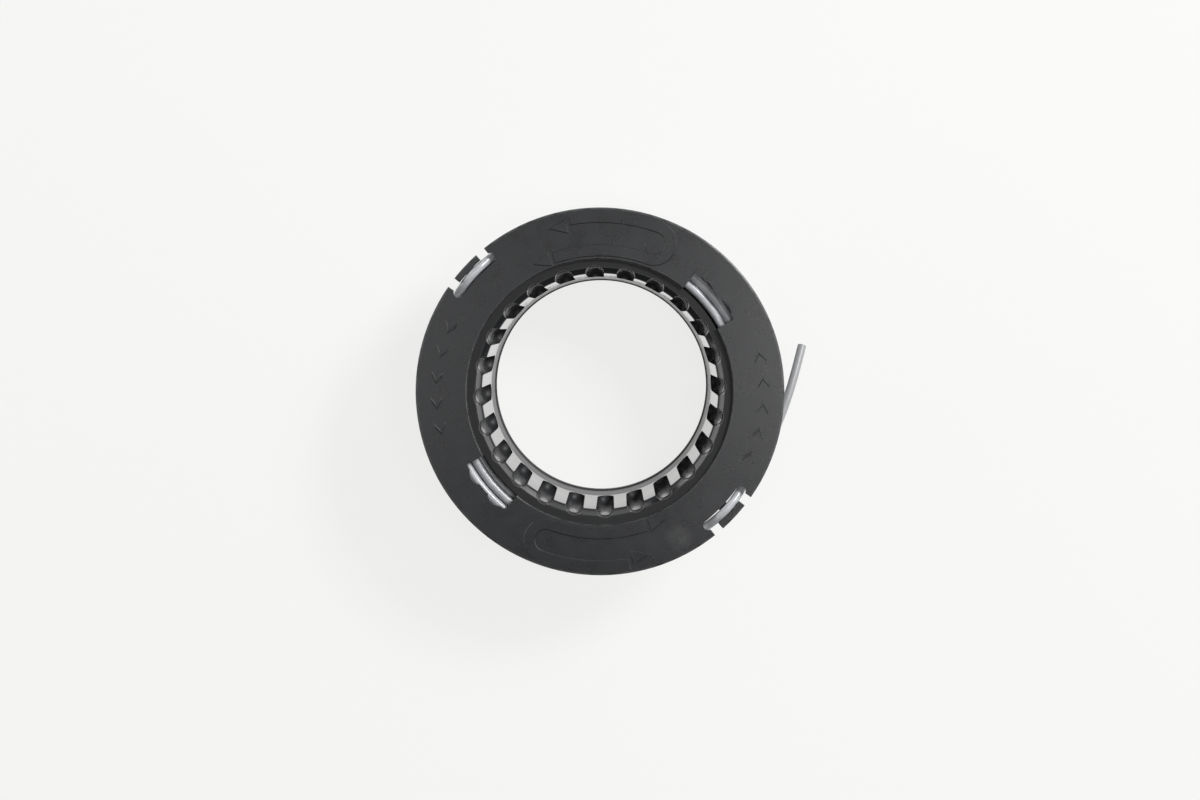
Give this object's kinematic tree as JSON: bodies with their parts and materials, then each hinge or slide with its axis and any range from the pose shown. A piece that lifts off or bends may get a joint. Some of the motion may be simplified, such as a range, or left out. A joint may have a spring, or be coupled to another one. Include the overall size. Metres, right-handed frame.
{
  "type": "trimmer line spool",
  "caption": "Flanged plastic spool for a string trimmer head, wound with nylon cutting line hooked in rim notches; drive pockets line the inside of its open drum.",
  "frame": {"origin": "on the spool's axis, in the plane of its underside", "axes": "+Z along the axis towards the flange with the notches; +X towards the side where the free line end stands out, +Y a quarter turn counter-clockwise from it"},
  "size_m": [0.09, 0.0844, 0.0265],
  "materials": {
    "charcoal_plastic": "fine moulded satin",
    "nylon_line": "smooth, slightly milky"
  },
  "bodies": {
    "root": {"spool_body": "charcoal_plastic", "upper_winding": "nylon_line", "lower_winding": "nylon_line", "upper_line_tail": "nylon_line", "lower_line_tail": "nylon_line"}
  },
  "joints": []
}
